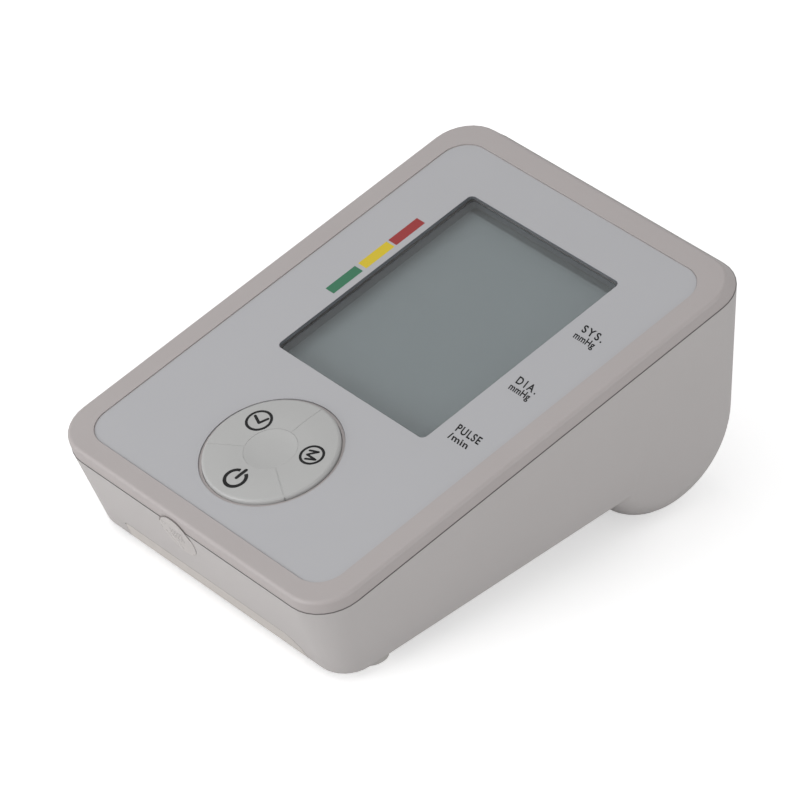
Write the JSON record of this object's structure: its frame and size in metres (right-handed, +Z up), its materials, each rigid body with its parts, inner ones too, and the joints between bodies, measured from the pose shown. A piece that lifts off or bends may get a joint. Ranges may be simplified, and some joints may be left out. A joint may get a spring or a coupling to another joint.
{
  "type": "upper-arm blood pressure monitor",
  "caption": "Desktop upper-arm blood pressure monitor: wedge case with inset face plate, display, round key pad, air pump, valve, and battery door below.",
  "frame": {"origin": "on the table under the middle of the case's bounding box", "axes": "+X to the user's right, +Y from the front edge to the rear wall, +Z up; the face tilts 15.4 degrees towards -Y"},
  "size_m": [0.099, 0.1345, 0.0629],
  "materials": {
    "case_upper": "fine satin grain",
    "face": "satin",
    "clear_lens": "clear acrylic, gloss",
    "case_lower": "fine grain",
    "film": "clear film",
    "foot_rubber": "matte",
    "key_plastic": "satin",
    "inner_plastic": "moulded",
    "switch_plastic": "moulded",
    "stem_plastic": "moulded",
    "lcd_glass": "satin polariser",
    "conductive_rubber": "matte",
    "board": "solder mask",
    "steel": "zinc plated",
    "foam": "foam",
    "copper_wire": "taped winding",
    "silicone": "translucent silicone",
    "socket_plastic": "moulded",
    "cell_jacket": "bare printed sleeve",
    "lead_insulation": "wire insulation"
  },
  "bodies": {
    "case": {"top_shell": "case_upper", "face_plate": "face", "window_lens": "clear_lens", "bottom_shell": "case_lower", "seal_film": "film", "front_foot_left": "foot_rubber", "front_foot_right": "foot_rubber", "rear_foot_left": "foot_rubber", "rear_foot_right": "foot_rubber", "key_carrier": "inner_plastic", "key_hub": "key_plastic", "power_switch": "switch_plastic", "memory_switch": "switch_plastic", "clock_switch": "switch_plastic", "lcd_panel": "lcd_glass", "lcd_frame": "inner_plastic", "lcd_connectors": "conductive_rubber", "main_board": "board", "controller_chip": "switch_plastic", "board_parts": "switch_plastic", "pressure_sensor": "switch_plastic", "buzzer": "switch_plastic", "board_screws": "steel", "case_screws": "steel", "pump_motor": "steel", "pump_housing": "inner_plastic", "pump_diaphragm": "conductive_rubber", "pump_cover": "inner_plastic", "pump_sleeve": "foam", "pump_clamp": "inner_plastic", "clamp_screws": "steel", "valve_yoke": "steel", "valve_coil": "copper_wire", "air_manifold": "inner_plastic", "hose_pump": "silicone", "hose_valve": "silicone", "hose_socket": "silicone", "hose_sensor": "silicone", "cuff_socket": "socket_plastic", "dc_socket": "switch_plastic", "cell_1": "cell_jacket", "cell_2": "cell_jacket", "cell_3": "cell_jacket", "cell_4": "cell_jacket", "contact_plates": "steel", "contact_springs": "steel", "battery_leads": "lead_insulation", "motor_leads": "lead_insulation", "valve_leads": "lead_insulation", "socket_leads": "lead_insulation"},
    "battery_door": {"battery_door": "case_lower"},
    "power_key": {"power_key": "key_plastic", "power_switch_stem": "stem_plastic"},
    "memory_key": {"memory_key": "key_plastic", "memory_switch_stem": "stem_plastic"},
    "clock_key": {"clock_key": "key_plastic", "clock_switch_stem": "stem_plastic"},
    "motor_shaft": {"motor_shaft": "steel"},
    "valve_plunger": {"valve_plunger": "steel"}
  },
  "joints": [
    {"name": "battery_door_slide", "type": "slide", "parent": "case", "child": "battery_door", "axis": [0, -0.992, -0.1262], "range_m": [0, 0.007]},
    {"name": "power_key_press", "type": "slide", "parent": "case", "child": "power_key", "axis": [0, 0.2656, -0.9641], "range_m": [0, 0.0006], "stiffness_N_per_m": 1500, "springref_m": -0.0005},
    {"name": "memory_key_press", "type": "slide", "parent": "case", "child": "memory_key", "axis": [0, 0.2656, -0.9641], "range_m": [0, 0.0006], "stiffness_N_per_m": 1500, "springref_m": -0.0005},
    {"name": "clock_key_press", "type": "slide", "parent": "case", "child": "clock_key", "axis": [0, 0.2656, -0.9641], "range_m": [0, 0.0006], "stiffness_N_per_m": 1500, "springref_m": -0.0005},
    {"name": "motor_shaft_spin", "type": "hinge", "parent": "case", "child": "motor_shaft", "pos_m": [0.015, 0.04595, 0.018], "axis": [1, 0, 0], "continuous": true},
    {"name": "valve_plunger_slide", "type": "slide", "parent": "case", "child": "valve_plunger", "axis": [0, 1, 0], "range_m": [0, 0.0008], "stiffness_N_per_m": 400, "springref_m": -0.0005}
  ]
}
